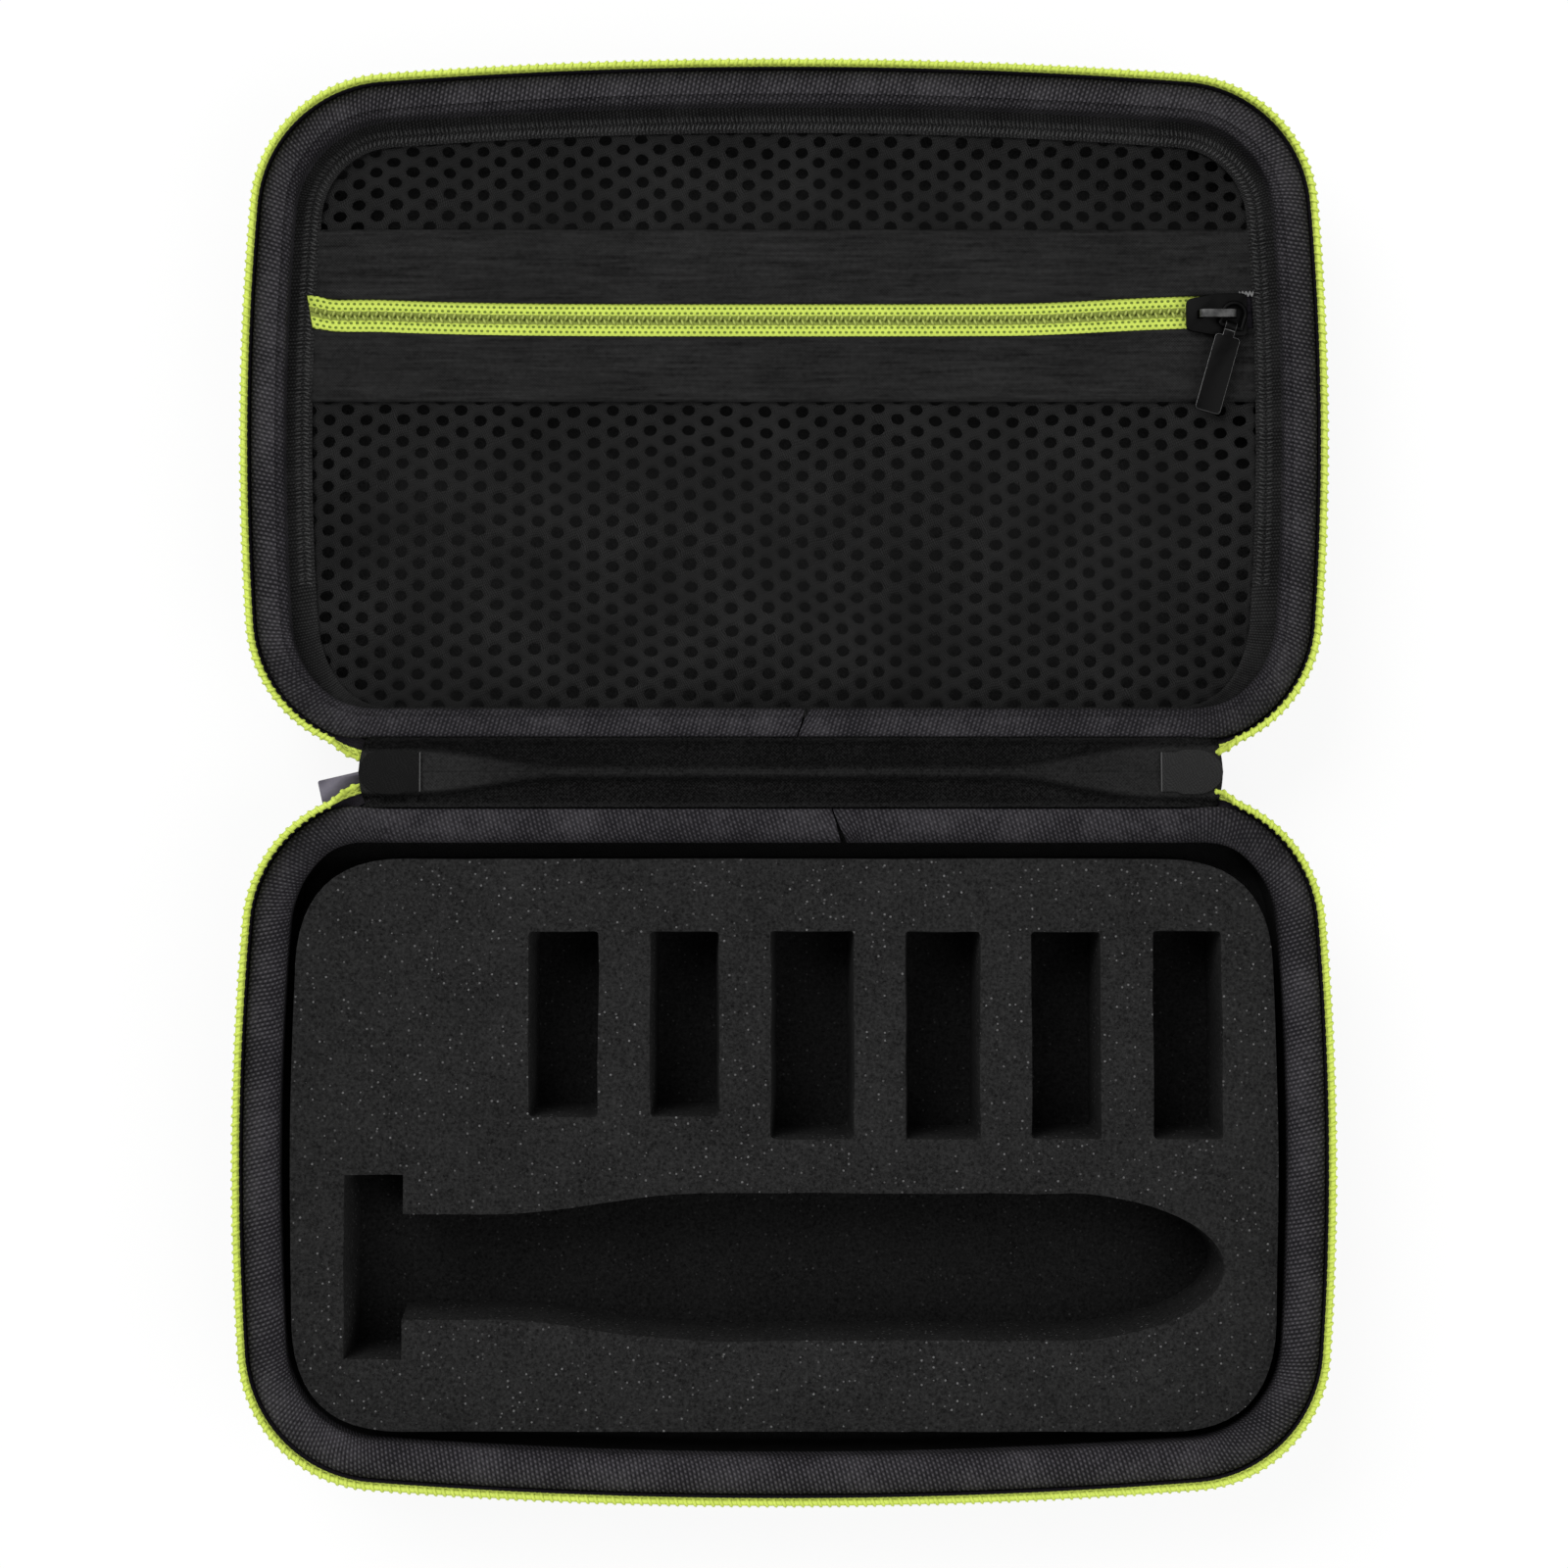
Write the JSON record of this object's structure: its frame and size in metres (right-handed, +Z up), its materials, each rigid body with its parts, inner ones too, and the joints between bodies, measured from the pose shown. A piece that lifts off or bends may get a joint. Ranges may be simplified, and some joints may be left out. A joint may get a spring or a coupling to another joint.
{
  "type": "trimmer travel case",
  "caption": "Open hard travel case for a beard trimmer: moulded shells on a cloth spine, lime rim zip, foam insert with cut-outs and a zipped net pocket in the lid.",
  "frame": {"origin": "on the table, under the middle of the spine, with the case lying open on its two backs", "axes": "+X along the spine, +Y from the base half to the lid half, +Z up"},
  "size_m": [0.2114, 0.278, 0.0345],
  "materials": {
    "shell": "fine woven cloth over moulded foam",
    "lining": "soft cloth",
    "binding": "ribbed woven tape",
    "zip_tape": "woven tape",
    "zip_coil": "satin",
    "pocket_coil": "satin",
    "foam": "fine open foam",
    "spine_cloth": "soft cloth",
    "tab": "woven",
    "net": "knitted net",
    "pocket_cloth": "soft cloth",
    "slider": "gloss black",
    "puller": "satin grey"
  },
  "bodies": {
    "base": {"base_shell": "shell", "base_lining": "lining", "base_binding": "binding", "base_zip_tape": "zip_tape", "base_zip_teeth": "zip_coil", "base_spine_hem": "spine_cloth", "foam_pad": "foam", "foam_insert": "foam"},
    "spine": {"spine_strip": "spine_cloth", "zip_end_tab_left": "tab", "zip_end_tab_right": "tab", "rim_slider": "slider"},
    "rim_pull": {"rim_puller": "puller"},
    "lid": {"lid_shell": "shell", "lid_lining": "lining", "lid_binding": "binding", "lid_zip_tape": "zip_tape", "lid_zip_teeth": "zip_coil", "lid_spine_hem": "spine_cloth", "pocket_border": "pocket_cloth", "pocket_net_upper": "net", "pocket_net_lower": "net", "pocket_band_upper": "pocket_cloth", "pocket_band_lower": "pocket_cloth", "pocket_zip_tape_upper": "zip_tape", "pocket_zip_tape_lower": "zip_tape", "pocket_zip_teeth_upper": "pocket_coil", "pocket_zip_teeth_lower": "pocket_coil"},
    "pocket_runner": {"pocket_slider": "slider"},
    "pull_ring": {"pocket_pull_ring": "slider"},
    "pull_tab": {"pocket_pull_tab": "slider"}
  },
  "joints": [
    {"name": "spine_fold", "type": "hinge", "parent": "base", "child": "spine", "pos_m": [0, -0.00595, 0.02875], "axis": [1, 0, 0], "range_deg": [0, 90]},
    {"name": "lid_fold", "type": "hinge", "parent": "spine", "child": "lid", "pos_m": [0, 0.00595, 0.02875], "axis": [1, 0, 0], "range_deg": [0, 90]},
    {"name": "pocket_slide", "type": "slide", "parent": "lid", "child": "pocket_runner", "axis": [-1, 0, 0], "range_m": [0, 0.17]},
    {"name": "pull_ring_swing", "type": "hinge", "parent": "pocket_runner", "child": "pull_ring", "pos_m": [0.08852, 0.0898, 0.02435], "axis": [0, 0, 1], "range_deg": [-20, 28]},
    {"name": "pull_tab_lift", "type": "hinge", "parent": "pull_ring", "child": "pull_tab", "pos_m": [0.0878, 0.0873, 0.02435], "axis": [-0.9613, 0.2756, 0], "range_deg": [0, 95]},
    {"name": "rim_pull_swing", "type": "hinge", "parent": "spine", "child": "rim_pull", "pos_m": [-0.0739, -0.00042, 0.02225], "axis": [0.225, -0.9744, 0], "range_deg": [0, 120]}
  ],
  "couplings": [
    {"joint": "lid_fold", "follows": "spine_fold", "ratio": 1}
  ]
}
